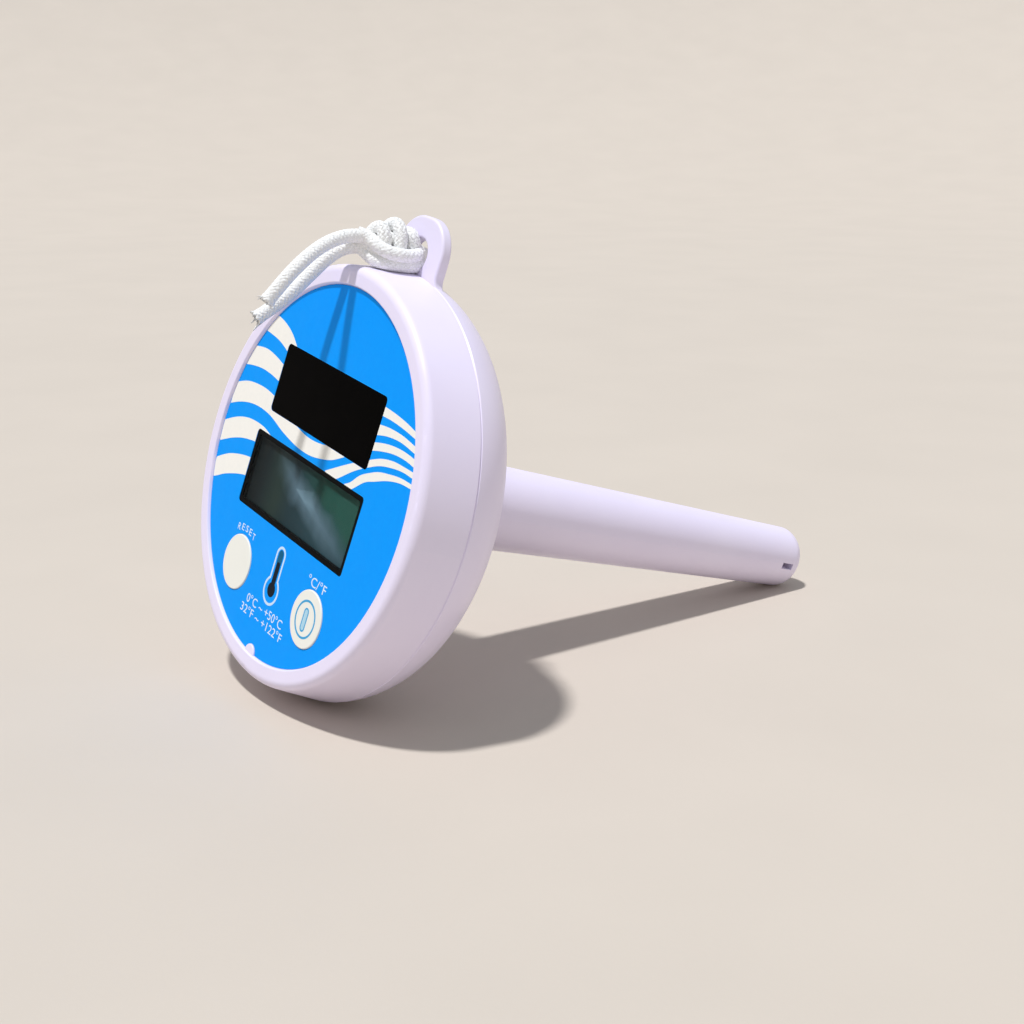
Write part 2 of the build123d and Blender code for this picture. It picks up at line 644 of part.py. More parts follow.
laid = {name: laid_down(shape) for name, shape in pieces.items()}
box = Compound([shape for name, shape in laid.items() if not name.startswith("tether")]).bounding_box()
shift = Vector(-box.center().X, -box.center().Y, -box.min.Z)
print("tilt", round(tilt, 5), "shift", shift, "size", box.size)
for part in ("rear_housing", "stem_tube", "tip_cap"):
    print("lowest point of", part, round(laid[part].bounding_box().min.Z + shift.Z, 3))

os.makedirs("parts", exist_ok=True)
for name, shape in laid.items():
    export_step(shape.translate(shift), f"parts/{name}.step")
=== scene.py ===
import json
import math
import random

import bmesh
import bpy
import numpy as np
from mathutils import Matrix, Vector


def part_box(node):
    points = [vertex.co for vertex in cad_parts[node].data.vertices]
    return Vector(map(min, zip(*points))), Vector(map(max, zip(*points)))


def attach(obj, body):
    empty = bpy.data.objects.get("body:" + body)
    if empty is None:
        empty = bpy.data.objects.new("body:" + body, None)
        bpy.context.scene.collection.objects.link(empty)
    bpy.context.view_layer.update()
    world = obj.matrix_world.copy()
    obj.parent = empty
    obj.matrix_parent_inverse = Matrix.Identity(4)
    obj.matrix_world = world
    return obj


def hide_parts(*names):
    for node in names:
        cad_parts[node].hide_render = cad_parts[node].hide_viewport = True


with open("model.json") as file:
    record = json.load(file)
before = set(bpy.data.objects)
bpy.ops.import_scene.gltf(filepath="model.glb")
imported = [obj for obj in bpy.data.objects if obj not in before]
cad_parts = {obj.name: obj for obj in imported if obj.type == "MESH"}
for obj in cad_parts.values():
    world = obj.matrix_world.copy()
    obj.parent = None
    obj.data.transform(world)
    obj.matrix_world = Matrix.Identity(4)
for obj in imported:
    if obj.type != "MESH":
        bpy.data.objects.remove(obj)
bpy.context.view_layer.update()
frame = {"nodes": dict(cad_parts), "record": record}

# A floating pool thermometer lying on the shoulder of its head and the tip of its stem. Geometry is
# given in millimetres in the head's own frame (u to the reader's right, v up the label, n out of the
# face, origin at the centre of the bezel's face) unless a name says otherwise, and HEAD carries it
# into the row frame in metres.

MM = 0.001
SOLAR = (0.3, 18.3, 50.6, 17.7, 1.2)     # the windows in the label: centre, size and corner
LCD = (0.1, -6.1, 56.2, 19.6, 1.0)
LEAN = math.radians(-7.6)
SEAL_DEPTH = 14.03       # the case seal's centre behind the bezel's face


def middle(node):
    """Centre of a CAD node's box."""
    low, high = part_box(node)
    return (low + high) / 2


def head_matrix():
    """From head millimetres to the row frame, found from two pieces that lie on the head's axis."""
    outward = (middle("case_seal") - middle("temperature_sensor")).normalized()
    origin = middle("case_seal") + outward * SEAL_DEPTH * MM
    turn = Matrix.Rotation(math.pi / 2 - math.asin(outward.z), 4, "X") @ Matrix.Rotation(LEAN, 4, "Z")
    return Matrix.Translation(origin) @ turn @ Matrix.Scale(MM, 4)


HEAD = head_matrix()

# ---- camera ---------------------------------------------------------------------------------------

CAMERA_AT = Vector((0.33582, -0.25566, 0.14291))
CAMERA_AZIMUTH = math.radians(54.254)
CAMERA_DROP = math.radians(14.318)
CAMERA_LENS = 56.25


def make_camera():
    """A level camera to the reader's right of the face, looking slightly down."""
    data = bpy.data.cameras.new("camera")
    data.lens = CAMERA_LENS
    data.sensor_width = 36.0
    data.clip_start = 0.01
    camera = bpy.data.objects.new("camera", data)
    camera.location = CAMERA_AT
    camera.rotation_euler = (math.pi / 2 - CAMERA_DROP, 0.0, CAMERA_AZIMUTH)
    bpy.context.scene.collection.objects.link(camera)
    bpy.context.scene.camera = camera


make_camera()

# ---- finishes -------------------------------------------------------------------------------------


class Finish:
    """A material with one Principled shader, textured in head millimetres."""

    def __init__(self, name, colour, roughness, **fixed):
        self.material = bpy.data.materials.new(name)
        self.material.use_nodes = True
        self.nodes = self.material.node_tree.nodes
        self.links = self.material.node_tree.links
        self.shader = self.nodes["Principled BSDF"]
        self.put("Base Color", (*colour, 1.0))
        self.put("Roughness", roughness)
        for socket, value in fixed.items():
            self.put(socket.replace("_", " "), value)
        self.place = self.head_place()

    def put(self, socket, value):
        """Sets one of the shader's sockets, or links another node's output to it."""
        self.feed(self.shader.inputs[socket], value)

    def feed(self, socket, value):
        """Links another node's output to a socket, or sets the socket to a number or a colour."""
        if isinstance(value, bpy.types.NodeSocket):
            self.links.new(value, socket)
        else:
            socket.default_value = value

    def head_place(self):
        """Object coordinates turned into head millimetres."""
        inverse = HEAD.inverted()
        mapping = self.nodes.new("ShaderNodeMapping")
        mapping.inputs["Location"].default_value = inverse.translation
        mapping.inputs["Rotation"].default_value = inverse.to_3x3().normalized().to_euler()
        mapping.inputs["Scale"].default_value = (1 / MM,) * 3
        self.links.new(self.nodes.new("ShaderNodeTexCoord").outputs["Object"], mapping.inputs["Vector"])
        return mapping.outputs["Vector"]

    def noise(self, size, detail=3.0, stretch=(1.0, 1.0, 1.0)):
        """Cloudy noise whose blotches are about size millimetres, from 0 to 1."""
        mapping = self.nodes.new("ShaderNodeMapping")
        mapping.inputs["Scale"].default_value = [1 / (size * pull) for pull in stretch]
        self.links.new(self.place, mapping.inputs["Vector"])
        noise = self.nodes.new("ShaderNodeTexNoise")
        noise.inputs["Scale"].default_value = 1.0
        noise.inputs["Detail"].default_value = detail
        self.links.new(mapping.outputs["Vector"], noise.inputs["Vector"])
        return noise.outputs["Fac"]

    def axis(self, which):
        """One head coordinate, in millimetres."""
        split = self.nodes.new("ShaderNodeSeparateXYZ")
        self.links.new(self.place, split.inputs["Vector"])
        return split.outputs[which]

    def math(self, operation, first, second=0.0):
        """One step of arithmetic on outputs or numbers."""
        node = self.nodes.new("ShaderNodeMath")
        node.operation = operation
        self.feed(node.inputs[0], first)
        self.feed(node.inputs[1], second)
        return node.outputs["Value"]

    def spread(self, value, low, high, start=0.3, end=0.7):
        """Stretches a value from start..end to low..high, and stops there."""
        node = self.nodes.new("ShaderNodeMapRange")
        self.feed(node.inputs["Value"], value)
        for name, number in (("From Min", start), ("From Max", end), ("To Min", low), ("To Max", high)):
            node.inputs[name].default_value = number
        return node.outputs["Result"]

    def blend(self, factor, first, second):
        """A colour between two others."""
        node = self.nodes.new("ShaderNodeMix")
        node.data_type = "RGBA"
        self.feed(node.inputs["Factor"], factor)
        for socket, value in zip((node.inputs[6], node.inputs[7]), (first, second)):
            self.feed(socket, value if isinstance(value, bpy.types.NodeSocket) else (*value, 1.0))
        return node.outputs[2]

    def bump(self, height, depth):
        """Raises the surface by height times depth millimetres."""
        node = self.nodes.new("ShaderNodeBump")
        node.inputs["Strength"].default_value = 1.0
        node.inputs["Distance"].default_value = depth * MM
        self.links.new(height, node.inputs["Height"])
        before = self.shader.inputs["Normal"].links
        if before:
            self.links.new(before[0].from_socket, node.inputs["Normal"])
        self.links.new(node.outputs["Normal"], self.shader.inputs["Normal"])

    def mottle(self, colour, other, size, detail=4.0):
        """Lets the base colour drift towards another one in soft blotches."""
        self.put("Base Color", self.blend(self.spread(self.noise(size, detail), 0.0, 1.0), colour, other))


def moulded(name, colour, shade, roughness, grain=0.004, **fixed):
    """Injection-moulded plastic: a slow drift of tone, uneven gloss and a very fine grain."""
    finish = Finish(name, colour, roughness, **fixed)
    finish.mottle(colour, shade, 22.0)
    finish.put("Roughness", finish.spread(finish.noise(6.0, 5.0), roughness - 0.06, roughness + 0.07))
    finish.bump(finish.noise(0.35, 2.0), grain)
    finish.bump(finish.noise(9.0, 2.0), 0.012)
    return finish.material


def printed(name, colour, shade, gloss=0.05):
    """Ink under the label's clear film: an even tone with a trace of print grain and orange peel."""
    finish = Finish(name, colour, 0.42, Specular_IOR_Level=gloss)
    finish.mottle(colour, shade, 1.1, 6.0)
    finish.put("Roughness", finish.spread(finish.noise(4.0), 0.36, 0.48))
    finish.bump(finish.noise(0.8, 2.0), 0.003)
    return finish.material


def rubber(name, colour, roughness=0.7):
    """Rubber, foam or a lead's insulation: matt, with darker blotches."""
    finish = Finish(name, colour, roughness)
    finish.mottle(colour, [0.7 * part for part in colour], 2.5)
    finish.put("Roughness", finish.spread(finish.noise(1.5), roughness - 0.1, roughness + 0.1))
    finish.bump(finish.noise(0.25), 0.01)
    return finish.material


def metal(name, colour, roughness, stretch):
    """Drawn or turned metal, with fine lines along one direction."""
    finish = Finish(name, colour, roughness, Metallic=1.0)
    lines = finish.noise(0.2, 4.0, stretch)
    worn = [0.8 * part for part in colour]
    finish.put("Base Color", finish.blend(finish.spread(lines, 0.0, 1.0), colour, worn))
    finish.put("Roughness", finish.spread(lines, roughness - 0.08, roughness + 0.1))
    finish.bump(lines, 0.004)
    return finish.material


def solar_black():
    """Black-backed glass over strips of thin-film cell, which barely show as hairlines."""
    finish = Finish("solar_glass", (0.001, 0.001, 0.002), 0.07, Specular_IOR_Level=0.012)
    strip = finish.math("FRACT", finish.math("DIVIDE", finish.axis("X"), 5.0))
    line = finish.math("LESS_THAN", finish.math("ABSOLUTE", finish.math("SUBTRACT", strip, 0.5)), 0.012)
    cloud = finish.spread(finish.noise(9.0), 0.0, 1.0)
    body = finish.blend(cloud, (0.0001, 0.0001, 0.0002), (0.0004, 0.0003, 0.0005))
    finish.put("Base Color", finish.blend(line, body, (0.002, 0.0015, 0.0015)))
    finish.put("Roughness", finish.spread(finish.noise(2.5, 6.0), 0.05, 0.12))
    return finish.material


def liquid_crystal():
    """The display's cell, switched off: dark, with a painted reflection as a pale streak slanting across it,
    and a green corner.
    """
    finish = Finish("lcd_cell", (0.03, 0.05, 0.05), 0.3, Specular_IOR_Level=0.05)

    def within(value, rising, falling):
        """1 between two soft edges and 0 outside them."""
        return finish.math("MULTIPLY", finish.spread(value, 0.0, 1.0, *rising),
                           finish.spread(value, 1.0, 0.0, *falling))

    u = finish.math("SUBTRACT", finish.axis("X"), LCD[0])
    v = finish.math("SUBTRACT", finish.axis("Y"), LCD[1])
    wander = finish.math("MULTIPLY", finish.math("SUBTRACT", finish.noise(9.0, 2.0), 0.5), 7.0)
    rise = finish.math("ADD", finish.math("MULTIPLY", u, 0.33), finish.math("ADD", v, wander))
    # Painted reflection: a pale streak that slants across the cell.
    reflection_streak = within(rise, (-4.5, 1.0), (1.2, 6.0))
    reach = within(u, (-17.0, -3.0), (6.0, 27.0))
    green = finish.math("MULTIPLY", finish.spread(rise, 0.0, 1.0, 1.5, 7.0),
                        finish.spread(u, 0.0, 1.0, -6.0, 9.0))
    fringe = within(u, (-21.0, -13.0), (-12.0, -5.0))
    tone = finish.blend(finish.spread(u, 0.0, 1.0, -24.0, 12.0), (0.014, 0.021, 0.023), (0.040, 0.100, 0.125))
    tone = finish.blend(finish.math("MULTIPLY", fringe, 0.45), tone, (0.050, 0.085, 0.055))
    tone = finish.blend(finish.math("MULTIPLY", green, 0.8), tone, (0.022, 0.125, 0.085))
    # The painted reflection: inside the streak the cell lightens to a pale grey-blue.
    cloud = finish.math("MULTIPLY", finish.math("MULTIPLY", reflection_streak, reach), 0.9)
    finish.put("Base Color", finish.blend(cloud, tone, (0.215, 0.350, 0.440)))
    return finish.material


def clear_window():
    """Clear acrylic in front of the display."""
    finish = Finish("lcd_clear", (0.02, 0.03, 0.03), 0.05, Alpha=0.12, Specular_IOR_Level=0.3)
    finish.mottle((0.02, 0.03, 0.03), (0.03, 0.04, 0.045), 8.0)
    finish.put("Roughness", finish.spread(finish.noise(3.0, 5.0), 0.03, 0.09))
    return finish.material


def braid_white():
    """Polyester yarn: each strand shows its filaments, which run along the mesh's second UV axis, with
    painted shade in the grooves between them.
    """
    finish = Finish("cord_white", (0.95, 0.95, 0.95), 0.8, Specular_IOR_Level=0.2, Sheen_Weight=0.3)
    split = finish.nodes.new("ShaderNodeSeparateXYZ")
    finish.links.new(finish.nodes.new("ShaderNodeUVMap").outputs["UV"], split.inputs["Vector"])
    across = finish.math("MULTIPLY", split.outputs["X"], 8 * math.pi)
    twist = finish.math("MULTIPLY", split.outputs["Y"], 2.0)
    filaments = finish.math("SINE", finish.math("ADD", across, twist))
    soiling = finish.spread(finish.noise(1.6, 5.0), 0.0, 1.0)
    tone = finish.blend(soiling, (0.96, 0.96, 0.95), (0.90, 0.90, 0.90))
    # Painted shade: the colour darkens towards grey in the grooves between the filaments.
    shade = finish.spread(filaments, 0.0, 0.12, 0.2, -1.0)
    finish.put("Base Color", finish.blend(shade, tone, (0.75, 0.75, 0.75)))
    finish.put("Roughness", finish.spread(filaments, 0.7, 0.85, -1.0, 1.0))
    finish.bump(filaments, 0.03)
    finish.bump(finish.noise(0.12, 2.0), 0.012)
    return finish.material


def board_mask():
    """Green solder mask over copper tracks that show as slightly lighter lanes."""
    finish = Finish("board_green", (0.02, 0.2, 0.08), 0.35, Coat_Weight=0.4, Coat_Roughness=0.2)
    lanes = finish.nodes.new("ShaderNodeTexBrick")
    lanes.inputs["Scale"].default_value = 0.35
    lanes.inputs["Mortar Size"].default_value = 0.06
    finish.links.new(finish.place, lanes.inputs["Vector"])
    finish.put("Base Color", finish.blend(lanes.outputs["Fac"], (0.012, 0.15, 0.06), (0.03, 0.25, 0.10)))
    finish.bump(lanes.outputs["Fac"], 0.03)
    return finish.material


def layered_silicone():
    """The connector strips: thin dark and pale layers, one after another."""
    finish = Finish("zebra_rubber", (0.5, 0.4, 0.34), 0.6)
    layer = finish.math("SINE", finish.math("MULTIPLY", finish.axis("X"), 30.0))
    dark = finish.spread(layer, 0.0, 1.0)
    finish.put("Base Color", finish.blend(dark, (0.62, 0.50, 0.44), (0.06, 0.05, 0.05)))
    return finish.material


HOUSING = (0.84, 0.775, 0.955)
FINISHES = {
    "housing_white": moulded("housing_white", HOUSING, (0.815, 0.745, 0.935), 0.36, Specular_IOR_Level=0.4),
    "label_print": printed("label_print", (0.0, 0.315, 0.98), (0.0, 0.33, 0.99)),
    "button_white": moulded("button_white", (0.88, 0.87, 0.80), (0.85, 0.84, 0.775), 0.42,
                            Specular_IOR_Level=0.3),
    "seal_rubber": rubber("seal_rubber", (0.02, 0.02, 0.022)),
    "solar_glass": solar_black(),
    "solar_cell": moulded("solar_cell", (0.03, 0.015, 0.02), (0.02, 0.01, 0.014), 0.3),
    "lcd_frame_black": moulded("lcd_frame_black", (0.001, 0.0012, 0.0015), (0.003, 0.0035, 0.004), 0.33,
                               Specular_IOR_Level=0.025),
    "lcd_clear": clear_window(),
    "lcd_cell": liquid_crystal(),
    "zebra_rubber": layered_silicone(),
    "board_green": board_mask(),
    "resin_black": moulded("resin_black", (0.012, 0.012, 0.012), (0.02, 0.02, 0.02), 0.25, 0.02),
    "steel_bright": metal("steel_bright", (0.62, 0.62, 0.63), 0.25, (20.0, 1.0, 1.0)),
    "switch_black": moulded("switch_black", (0.02, 0.02, 0.02), (0.03, 0.03, 0.03), 0.5),
    "holder_black": moulded("holder_black", (0.03, 0.03, 0.03), (0.02, 0.02, 0.02), 0.55),
    "ballast_steel": metal("ballast_steel", (0.42, 0.42, 0.43), 0.35, (20.0, 20.0, 1.0)),
    "foam_grey": rubber("foam_grey", (0.07, 0.07, 0.075), 0.85),
    "sensor_resin": moulded("sensor_resin", (0.02, 0.02, 0.02), (0.03, 0.03, 0.03), 0.3),
    "lead_red": rubber("lead_red", (0.45, 0.012, 0.01), 0.45),
    "lead_black": rubber("lead_black", (0.015, 0.015, 0.015), 0.45),
    "cord_white": braid_white(),
}
INK_WHITE = printed("ink_white", (0.93, 0.90, 0.84), (0.90, 0.875, 0.82))
INK_PALE = printed("ink_pale", (0.62, 0.78, 0.93), (0.58, 0.75, 0.92))
INK_DARK = printed("ink_dark", (0.004, 0.008, 0.016), (0.008, 0.014, 0.024))
INK_TEAL = printed("ink_teal", (0.004, 0.10, 0.22), (0.006, 0.12, 0.24))
INK_CAPTION = printed("ink_caption", (0.74, 0.84, 0.92), (0.70, 0.82, 0.92))
INK_BLUE = printed("ink_blue", (0.05, 0.36, 0.66), (0.07, 0.38, 0.68))
INK_MIST = printed("ink_mist", (0.42, 0.66, 0.80), (0.45, 0.68, 0.81))

for row in frame["record"]["subparts"]:
    slots = frame["nodes"][row["node"]].data.materials
    slots.clear()
    slots.append(FINISHES[row["material_slot"]])

# ---- making pieces --------------------------------------------------------------------------------


def piece(name, mesh, material, body="housing", smooth=True):
    """An object for a mesh given in head millimetres, riding on a body."""
    mesh.transform(HEAD)
    mesh.materials.append(material)
    for face in mesh.polygons:
        face.use_smooth = smooth
    made = bpy.data.objects.new(name, mesh)
    bpy.context.scene.collection.objects.link(made)
    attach(made, body)
    return made


def mesh_from(name, points, faces):
    """A mesh from lists of points and faces."""
    mesh = bpy.data.meshes.new(name)
    mesh.from_pydata([tuple(point) for point in points], [], faces)
    mesh.update()
    return mesh


# ---- tether ---------------------------------------------------------------------------------------

CORD_D = 3.2
CARRIERS = 8             # strands of the braid each way round
BRAID_PITCH = 8.6        # length in which a strand goes once round
BRAID_R = 1.45           # middle of the strands' layer
BRAID_WAVE = 0.085       # how far a strand dips and rises as it crosses the others
STRAND_HALF = (0.57, 0.17)       # half a strand's width and thickness
CORE_R = 1.37
STEP = 0.15              # between the rings of a strand
LOOSE_LENGTH = 2.4       # over which the braid opens before its cut end
LOOSE_BY = 0.16          # how far it opens
FRAY_FIBRES = 170

UPPER_TAIL = [
    (-4.6, 59.3, -5.8),
    (-5.5, 59.0, 0.7),
    (-4.3, 55.9, 8.0),
    (-1.5, 51.0, 14.3),
    (-0.1, 44.7, 19.0),
    (-0.7, 38.7, 21.5),
]
LOWER_TAIL = [
    (-6.5, 56.5, -5.9),
    (-7.0, 56.4, -1.0),
    (-8.0, 53.5, 4.0),
    (-10.0, 46.0, 7.7),
    (-10.5, 38.6, 12.2),
    (-11.8, 33.0, 17.0),
]
# Each turn of the knot: centre and half size, across and upright.
TURNS = [(-3.4, 58.2, 2.4, 3.7), (-3.3, 59.0, 3.2, 4.7), (-3.4, 58.4, 2.9, 3.4)]
TURN_POINTS = 8
TURN_DEPTH = 3.75        # from one turn to the next
FIRST_DEPTH = -3.5
TURN_SWELL = 1.09        # the spline passes inside its points
# From the last turn over the knot, through the eye of the lug, round its edge and back inside.
BIGHT = [
    (-6.0, 58.6, -12.0),
    (-5.4, 61.6, -11.4),
    (-2.4, 62.8, -11.0),
    (-0.4, 61.9, -11.2),
    (-0.5, 59.6, -12.4),
    (-1.1, 58.6, -16.0),
    (-1.2, 58.4, -19.2),
    (-6.0, 58.4, -19.4),
    (-12.4, 58.2, -19.2),
    (-12.6, 58.0, -10.8),
    (-9.4, 58.3, -6.2),
    (-5.0, 58.0, -6.0),
]
# The doubled leg that lies across the turns' feet: each strand carries a tail on past the turns.
LEGS = [
    [(-7.0, 56.5, -0.9), (-5.5, 55.5, -2.4), (-2.4, 54.4, -3.4), (0.6, 54.4, -5.0), (2.0, 55.0, -8.6),
     (2.1, 55.6, -12.8), (0.8, 57.0, -14.8), (-2.0, 58.0, -13.0)],
    [(-5.4, 59.1, 0.6), (-4.4, 59.0, -1.6), (-1.6, 58.0, -2.6), (1.2, 57.1, -4.2), (2.6, 57.2, -7.6),
     (2.3, 57.9, -11.6), (0.6, 58.8, -13.6), (-2.5, 59.0, -12.5)],
]
# The strands that run straight through the turns.
THROUGH = [
    [(-2.7, 60.0, -4.6), (-2.2, 60.2, -8.0), (-2.0, 59.8, -11.5)],
    [(-6.4, 57.3, -1.6), (-4.4, 56.9, -3.0), (-1.6, 56.2, -4.2), (1.0, 55.8, -7.0)],
    [(-4.6, 59.3, -5.8), (-4.0, 58.9, -9.0), (-3.4, 58.8, -12.0)],
    [(-5.0, 56.8, -5.6), (-3.4, 56.9, -9.0), (-2.6, 57.4, -12.0)],
]


def knot_route():
    """Three fat turns side by side, then the bight."""
    points = [(-4.5, 57.5, -3.4)]
    for step in range(-2, 2 * TURN_POINTS + 6):
        turn = step / TURN_POINTS
        which = max(0, min(len(TURNS) - 1, math.floor(turn + 0.25)))
        across, upright, half_across, half_upright = TURNS[which]
        angle = 2 * math.pi * turn
        points.append((
            across + TURN_SWELL * half_across * math.sin(angle),
            upright + TURN_SWELL * half_upright * math.cos(angle),
            FIRST_DEPTH - TURN_DEPTH * turn,
        ))
    return points + BIGHT


def spline_points(name, route):
    """Points along the smooth curve that a route's control points give, in head millimetres."""
    curve = bpy.data.curves.new(name + "_route", "CURVE")
    curve.dimensions = "3D"
    curve.resolution_u = 24
    spline = curve.splines.new("NURBS")
    spline.points.add(len(route) - 1)
    for point, place in zip(spline.points, route):
        point.co = (*(HEAD @ Vector(place)), 1.0)
    spline.order_u = 3
    spline.use_endpoint_u = True
    holder = bpy.data.objects.new(name + "_route", curve)
    bpy.context.scene.collection.objects.link(holder)
    line = bpy.data.meshes.new_from_object(holder)
    inverse = HEAD.inverted()
    points = np.array([tuple(inverse @ vertex.co) for vertex in line.vertices])
    bpy.data.objects.remove(holder)
    return points


class Line:
    """A cord's centreline at even steps, with a frame that doesn't twist along it."""

    def __init__(self, points, step):
        lengths = np.linalg.norm(np.diff(points, axis=0), axis=1)
        along = np.concatenate([[0.0], np.cumsum(lengths)])
        self.length = along[-1]
        count = max(8, int(round(self.length / step)))
        self.along = np.linspace(0.0, self.length, count + 1)
        self.points = np.stack([np.interp(self.along, along, points[:, k]) for k in range(3)], axis=1)
        kernel = np.array([1.0, 2.0, 3.0, 2.0, 1.0]) / 9.0
        inner = np.stack([np.convolve(self.points[:, k], kernel, "valid") for k in range(3)], axis=1)
        self.points[2:-2] = inner
        self.tangents = np.gradient(self.points, axis=0)
        self.tangents /= np.linalg.norm(self.tangents, axis=1)[:, None]
        self.normals = self.carried_normals()
        self.binormals = np.cross(self.tangents, self.normals)

    def carried_normals(self):
        """Normals that turn with the line and no more than it does."""
        start = np.cross(self.tangents[0], (0.3, 0.2, 1.0))
        normals = [start / np.linalg.norm(start)]
        for tangent in self.tangents[1:]:
            normal = normals[-1] - tangent * np.dot(normals[-1], tangent)
            normals.append(normal / np.linalg.norm(normal))
        return np.array(normals)


def swept(centres, sides, ups, half_side, half_up, corners=6):
    """Vertices, faces and UVs of a closed tube with an oval section."""
    turn = np.linspace(0.0, 2 * math.pi, corners, endpoint=False)
    rings = (
        centres[:, None, :]
        + sides[:, None, :] * (np.cos(turn) * half_side)[None, :, None]
        + ups[:, None, :] * (np.sin(turn) * half_up)[None, :, None]
    )
    count = len(centres)
    faces = []
    uvs = []
    for i in range(count - 1):
        here, there = i * corners, (i + 1) * corners
        for k in range(corners):
            after = (k + 1) % corners
            faces.append((here + k, here + after, there + after, there + k))
            left, right = k / corners, (k + 1) / corners
            uvs.append(((left, i), (right, i), (right, i + 1), (left, i + 1)))
    last = (count - 1) * corners
    faces.append(tuple(range(corners - 1, -1, -1)))
    faces.append(tuple(last + k for k in range(corners)))
    uvs.append(((0.0, 0.0),) * corners)
    uvs.append(((0.0, float(count)),) * corners)
    return rings.reshape(-1, 3), faces, uvs


class Bundle:
    """Collects swept tubes into one mesh with UVs."""

    def __init__(self):
        self.points = []
        self.faces = []
        self.uvs = []
        self.count = 0

    def add(self, points, faces, uvs, step):
        """Takes in a tube whose rings stand a step apart."""
        self.points.append(points)
        self.faces += [tuple(index + self.count for index in face) for face in faces]
        self.uvs += [(across, along * step) for face in uvs for across, along in face]
        self.count += len(points)

    def mesh(self, name):
        """All the tubes as one mesh."""
        mesh = mesh_from(name, np.concatenate(self.points), self.faces)
        layer = mesh.uv_layers.new(name="strands")
        layer.data.foreach_set("uv", [number for uv in self.uvs for number in uv])
        return mesh


def braid(bundle, line, flare=None):
    """Sixteen flat strands, eight each way, woven over and under each other round a core."""
    step = line.along[1]
    bundle.add(*swept(line.points, line.normals, line.binormals, CORE_R, CORE_R, 12), step)
    spread = np.zeros_like(line.along) if flare is None else flare(line.along)
    for way in (1, -1):
        for strand in range(CARRIERS):
            angle = 2 * math.pi * (strand / CARRIERS + way * line.along / BRAID_PITCH)
            crossing = 2 * CARRIERS * line.along / BRAID_PITCH
            radius = BRAID_R + way * BRAID_WAVE * np.cos(math.pi * crossing) + spread
            ups = line.normals * np.cos(angle)[:, None] + line.binormals * np.sin(angle)[:, None]
            centres = line.points + ups * radius[:, None]
            runs = np.gradient(centres, axis=0)
            runs /= np.linalg.norm(runs, axis=1)[:, None]
            bundle.add(*swept(centres, np.cross(runs, ups), ups, *STRAND_HALF), step)


def fibre(bundle, start, direction, droop, length, thick, steps=7):
    """One loose fibre or wisp, curving off its direction and thinning towards its end."""
    share = np.linspace(0.0, 1.0, steps)[:, None]
    points = start + direction * share * length + droop * share**2 * length
    runs = np.gradient(points, axis=0)
    runs /= np.linalg.norm(runs, axis=1)[:, None]
    sides = np.cross(runs, (0.31, 0.17, 0.93))
    sides /= np.linalg.norm(sides, axis=1)[:, None]
    ups = np.cross(runs, sides)
    taper = (1.0 - 0.75 * share) * thick
    vertices, faces, uvs = swept(points, sides * taper, ups * taper, 1.0, 1.0, 5)
    bundle.add(vertices, faces, uvs, length / steps)


def frayed_end(name, line, seed, wisps):
    """The cut end: short broken fibres all over its face and a few longer wisps."""
    rng = random.Random(seed)
    bundle = Bundle()
    end, ahead = line.points[-1], line.tangents[-1]
    side, up = line.normals[-1], line.binormals[-1]
    for _ in range(FRAY_FIBRES):
        angle = rng.uniform(0, 2 * math.pi)
        reach = CORD_D / 2 * math.sqrt(rng.uniform(0.0, 1.0)) * 0.97
        out = side * math.cos(angle) + up * math.sin(angle)
        lean = out * rng.uniform(0.0, 0.35) * reach / 1.5
        droop = np.array([rng.uniform(-0.2, 0.2) for _ in range(3)])
        start = end + out * reach - ahead * 0.7
        fibre(bundle, start, ahead + lean, droop, rng.uniform(0.8, 1.15), rng.uniform(0.14, 0.22))
    for toward, length, thick in wisps:
        toward = np.array(toward) / np.linalg.norm(toward)
        out = toward - ahead * np.dot(toward, ahead)
        start = end + out / np.linalg.norm(out) * 0.8 * CORD_D / 2 - ahead * 0.3
        fibre(bundle, start, toward, np.array([0.1, -0.3, 0.1]), length, thick, 9)
    return bundle.mesh(name)


def make_tether():
    """Two tails and the knot with its bight, all braided."""
    bundle = Bundle()
    for route in (knot_route(), *LEGS, *THROUGH):
        braid(bundle, Line(spline_points("tether_knot", route), STEP))
    knot = piece("tether_knot_braid", bundle.mesh("tether_knot_braid"), FINISHES["cord_white"])
    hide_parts("tether_knot", "tether_loop")
    # Name, route, seed of the fraying, wisps as direction, length and thickness, and pieces listed with the
    # tail.
    tails = (
        ("tether_tail_upper", UPPER_TAIL, 11,
         [((-0.7, 0.1, 0.8), 1.5, 0.2), ((-0.5, -0.5, 0.7), 1.2, 0.2)], []),
        ("tether_tail_lower", LOWER_TAIL, 12,
         [((-0.1, -0.9, 0.5), 2.1, 0.5), ((-0.3, -0.8, 0.6), 1.6, 0.4), ((-0.8, 0.4, 0.6), 1.2, 0.3)],
         [knot]),
    )
    for name, route, seed, wisps, more in tails:
        line = Line(spline_points(name, route), STEP)
        bundle = Bundle()

        def loosened(along, length=line.length):
            return LOOSE_BY * np.clip((along - length) / LOOSE_LENGTH + 1.0, 0.0, 1.0) ** 2

        braid(bundle, line, loosened)
        tail = piece(name + "_braid", bundle.mesh(name + "_braid"), FINISHES["cord_white"])
        ends = piece(name + "_fray", frayed_end(name + "_fray", line, seed, wisps),
                     FINISHES["cord_white"])
        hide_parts(name)


make_tether()

# ---- printing -------------------------------------------------------------------------------------

LABEL_TOP = -0.8
LABEL_EDGE = 46.8
INK = 0.02               # thickness of the ink above the film
COLUMN = 0.25            # width of the slices that a printed band is built from


